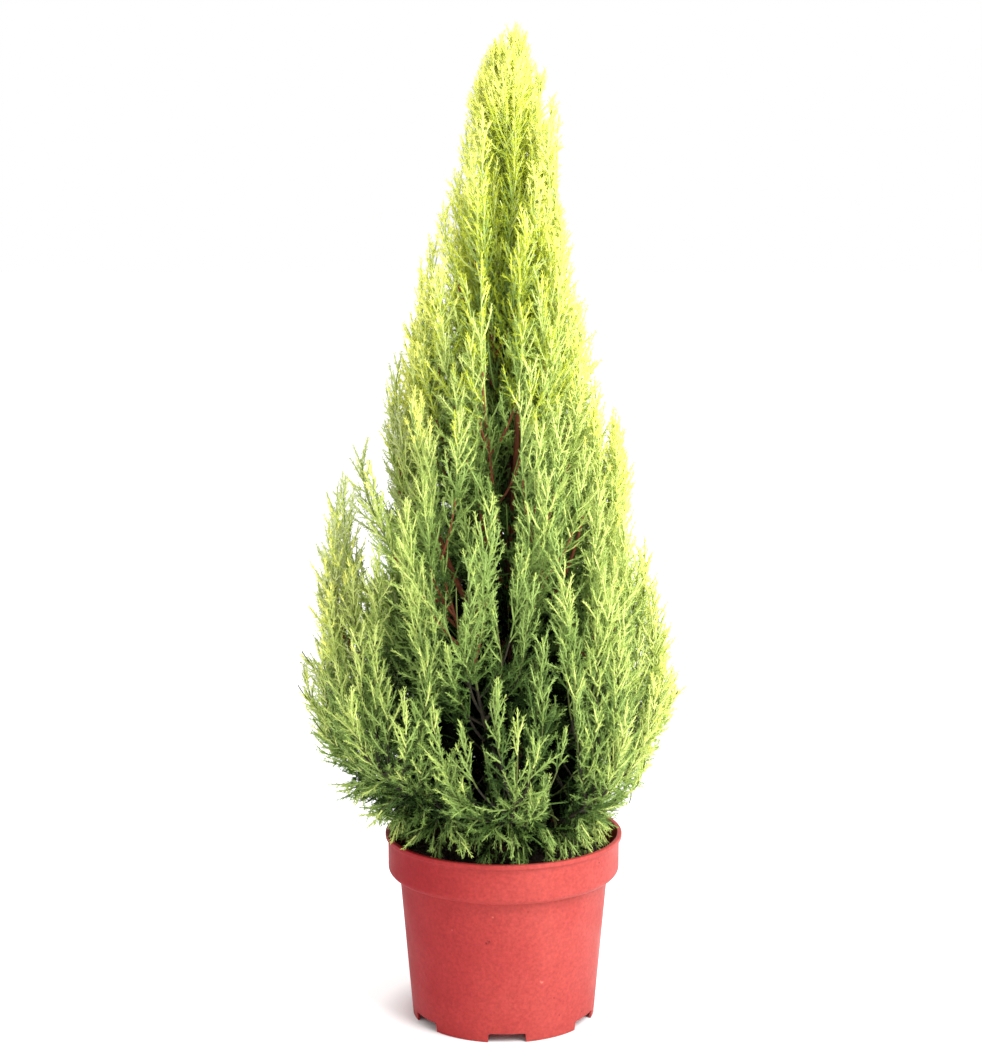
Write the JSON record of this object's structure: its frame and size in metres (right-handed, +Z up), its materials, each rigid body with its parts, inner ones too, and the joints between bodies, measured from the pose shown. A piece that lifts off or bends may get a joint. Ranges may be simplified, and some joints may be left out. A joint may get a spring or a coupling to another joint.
{
  "type": "potted lemon cypress",
  "caption": "Young conical lemon cypress with ascending feathery plumes, standing in a round tapered nursery pot with a collared rim and drainage notches.",
  "frame": {"origin": "middle of the pot's flat underside, on the ground", "axes": "+Z up along the pot's axis to the leader's tip, -Y towards the front of the picture, +X to its right"},
  "size_m": [0.3386, 0.3375, 0.9026],
  "materials": {
    "terracotta_plastic": "satin moulded plastic in terracotta red, lightly scuffed",
    "potting_mix": "moist crumbly bark and peat",
    "bark": "thin reddish-brown bark, finely furrowed",
    "foliage": "soft scale leaves, lemon yellow at the tips and green inside"
  },
  "bodies": {
    "root": {"bough_crown_1": "bark", "bough_crown_2": "bark", "bough_crown_3": "bark", "bough_lower_1": "bark", "bough_lower_2": "bark", "bough_lower_3": "bark", "bough_lower_4": "bark", "bough_lower_5": "bark", "bough_lower_6": "bark", "bough_middle_1": "bark", "bough_middle_2": "bark", "bough_middle_3": "bark", "bough_middle_4": "bark", "bough_middle_5": "bark", "bough_middle_6": "bark", "bough_skirt_1": "bark", "bough_skirt_2": "bark", "bough_skirt_3": "bark", "bough_skirt_4": "bark", "bough_skirt_5": "bark", "bough_skirt_6": "bark", "bough_skirt_7": "bark", "bough_skirt_8": "bark", "bough_upper_1": "bark", "bough_upper_2": "bark", "bough_upper_3": "bark", "bough_upper_4": "bark", "bough_upper_5": "bark", "plume_crown_1": "foliage", "plume_crown_2": "foliage", "plume_crown_3": "foliage", "plume_leader": "foliage", "plume_lower_1": "foliage", "plume_lower_2": "foliage", "plume_lower_3": "foliage", "plume_lower_4": "foliage", "plume_lower_5": "foliage", "plume_lower_6": "foliage", "plume_middle_1": "foliage", "plume_middle_2": "foliage", "plume_middle_3": "foliage", "plume_middle_4": "foliage", "plume_middle_5": "foliage", "plume_middle_6": "foliage", "plume_skirt_1": "foliage", "plume_skirt_2": "foliage", "plume_skirt_3": "foliage", "plume_skirt_4": "foliage", "plume_skirt_5": "foliage", "plume_skirt_6": "foliage", "plume_skirt_7": "foliage", "plume_skirt_8": "foliage", "plume_upper_1": "foliage", "plume_upper_2": "foliage", "plume_upper_3": "foliage", "plume_upper_4": "foliage", "plume_upper_5": "foliage", "pot": "terracotta_plastic", "soil": "potting_mix", "trunk": "bark"}
  },
  "joints": []
}
